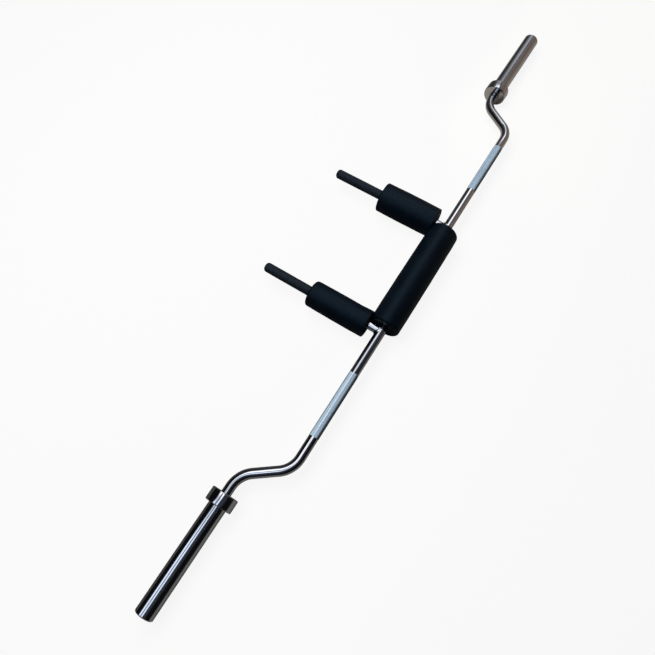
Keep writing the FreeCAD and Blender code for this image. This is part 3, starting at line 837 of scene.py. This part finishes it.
def ground_finish():
    """The cloth that the bar lies on, as its chrome shows it: paler towards the far end, with painted shade
    in front of the shaft and far behind it.
    """
    material, nodes = new_finish("ground_cloth")
    along, forward, _ = nodes.parts(nodes.place())
    weave = nodes.cloud(nodes.place(), 30.0)
    near = nodes.blend(weave, (0.24, 0.23, 0.215, 1), (0.29, 0.28, 0.26, 1))
    light = nodes.blend(nodes.ramp(along, 0.3, 0.7), near, (0.49, 0.435, 0.38, 1))
    edge = nodes.ramp(along, 0.3, 0.7, -0.12, 0.05)
    # Painted shade: the cloth is dark in front of the shaft and far behind it
    painted_shade_mask = nodes.ramp(forward - edge, -0.05, 0.05).above(1 - nodes.ramp(forward, -0.68, -0.36))
    tone = nodes.blend(painted_shade_mask, light, (0.1, 0.098, 0.095, 1))
    nodes.show(nodes.add("ShaderNodeBsdfDiffuse", {}, {"Color": tone}))
    return material


def only_mirrored(piece):
    """Shows in the chrome and the sheen of the pads, and nowhere else."""
    piece.visible_camera = False
    piece.visible_diffuse = False
    piece.visible_transmission = False
    piece.visible_shadow = False


def tent_mesh():
    """Half a cylinder over the bar, open below."""
    mesh = bpy.data.meshes.new("light_tent")
    corners = []
    for step in range(tent_steps + 1):
        lean = math.pi * (step / tent_steps - 0.5)
        y = shaft_axis.y + tent_radius * math.sin(lean)
        z = tent_radius * math.cos(lean)
        corners += [(-tent_reach, y, z), (tent_reach, y, z)]
    faces = [(2 * step, 2 * step + 1, 2 * step + 3, 2 * step + 2) for step in range(tent_steps)]
    mesh.from_pydata(corners, [], faces)
    return mesh


stage_piece("floor", flat_sheet("floor", floor_reach, floor_reach, 0), floor_finish())
only_mirrored(stage_piece("light_tent", tent_mesh(), tent_finish()))
ground_mesh = flat_sheet("ground_cloth", tent_reach, tent_radius, sheet_lift)
ground_cloth = stage_piece("ground_cloth", ground_mesh, ground_finish())
only_mirrored(ground_cloth)
# Soft bounced light meets this dim cloth and not the white floor, so the undersides stay dark
ground_cloth.visible_diffuse = True

world = bpy.data.worlds.new("studio")
world.use_nodes = True
bpy.context.scene.world = world
air = Finish(world.node_tree)
shade = air.add("ShaderNodeBackground", {}, {"Color": (0.16, 0.16, 0.17, 1), "Strength": 1.0})
paper = air.add("ShaderNodeBackground", {}, {"Color": (1, 1, 1, 1), "Strength": 1.0})
mixed = air.add("ShaderNodeMixShader", {}, {0: seen_directly(air), 1: shade, 2: paper})
air.show(mixed, "ShaderNodeOutputWorld")

key = bpy.data.lights.new("softbox", "AREA")
key.shape = "RECTANGLE"
key.size = 3.0
key.size_y = 1.4
key.energy = 58
key_lamp = bpy.data.objects.new("softbox", key)
bpy.context.scene.collection.objects.link(key_lamp)
key_place = Vector((0, 0.95, 2.2))
key_lamp.location = key_place
key_lamp.rotation_euler = (shaft_axis - key_place).to_track_quat("-Z", "Y").to_euler()
key_lamp.visible_glossy = False
key_lamp.visible_camera = False

# The camera stands over the left end of the bar, a step behind it, and looks down along it through a
# slightly wide lens, as the photographer did.
camera_place = Vector((-0.77533, -0.33941, 1.43842))
image_right = Vector((0.53135, -0.84711, 0.00915))
image_down = Vector((-0.77913, -0.49289, -0.38732))
camera = bpy.data.cameras.new("camera")
camera.sensor_width = 36
camera.lens = 29.19
viewer = bpy.data.objects.new("camera", camera)
bpy.context.scene.collection.objects.link(viewer)
turned_to = Matrix((image_right, -image_down, image_down.cross(image_right))).transposed()
viewer.matrix_world = Matrix.Translation(camera_place) @ turned_to.to_4x4()
bpy.context.scene.camera = viewer
bpy.context.scene.view_settings.view_transform = "Standard"
